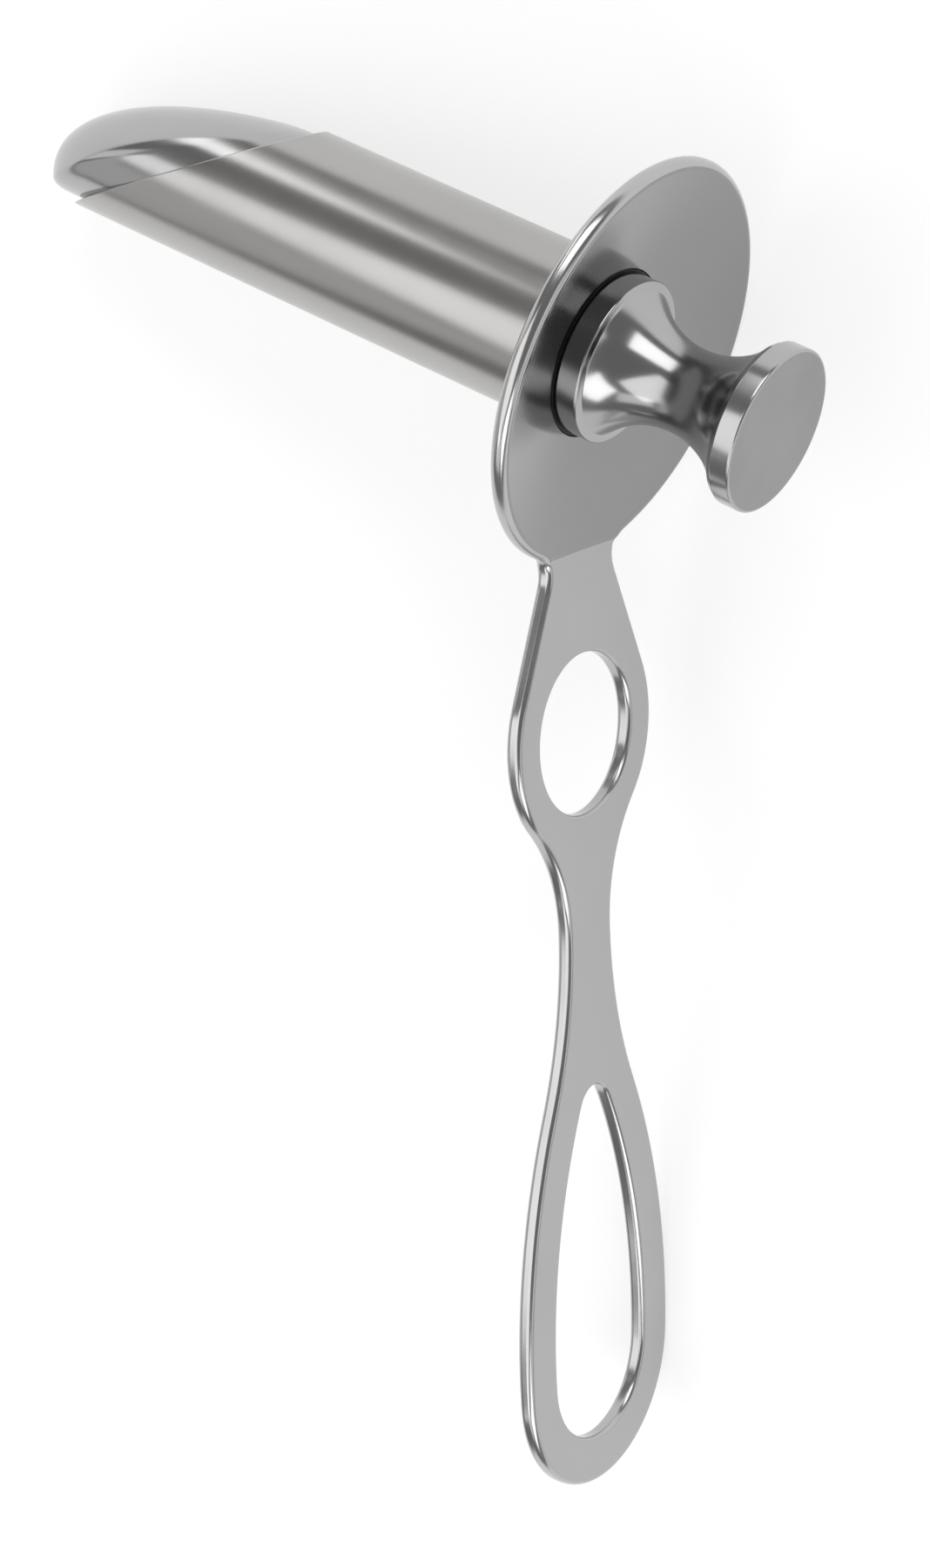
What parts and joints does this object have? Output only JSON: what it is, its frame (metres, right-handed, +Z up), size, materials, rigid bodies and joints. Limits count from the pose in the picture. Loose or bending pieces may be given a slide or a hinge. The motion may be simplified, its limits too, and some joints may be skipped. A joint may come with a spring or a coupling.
{
  "type": "anal speculum",
  "caption": "Tubular anal speculum: thin steel tube with an oblique end, dished flange, flat looped handle and a domed obturator that slides out by its spool knob.",
  "frame": {"origin": "centre of the bounding box on the table that the instrument lies on", "axes": "+Z up from the table; the tube points along -X and slightly down; the handle runs towards -Y; the instrument lies on its side on the flange's rim, the obturator's nose and the loop's edge"},
  "size_m": [0.1502, 0.1958, 0.0591],
  "materials": {
    "polished_plate": "polished stainless steel plate",
    "satin_tube": "lengthwise polished stainless steel tube",
    "polished_nose": "polished stainless steel",
    "plain_rod": "ground stainless steel rod",
    "mirror_knob": "mirror polished stainless steel with a satin end face"
  },
  "bodies": {
    "speculum": {"flange_handle": "polished_plate", "speculum_tube": "satin_tube"},
    "obturator": {"obturator_nose": "polished_nose", "obturator_rod": "plain_rod", "obturator_knob": "mirror_knob"}
  },
  "joints": [
    {"name": "obturator_slide", "type": "slide", "parent": "speculum", "child": "obturator", "axis": [0.9784, 0, 0.2067], "range_m": [0, 0.09]}
  ]
}
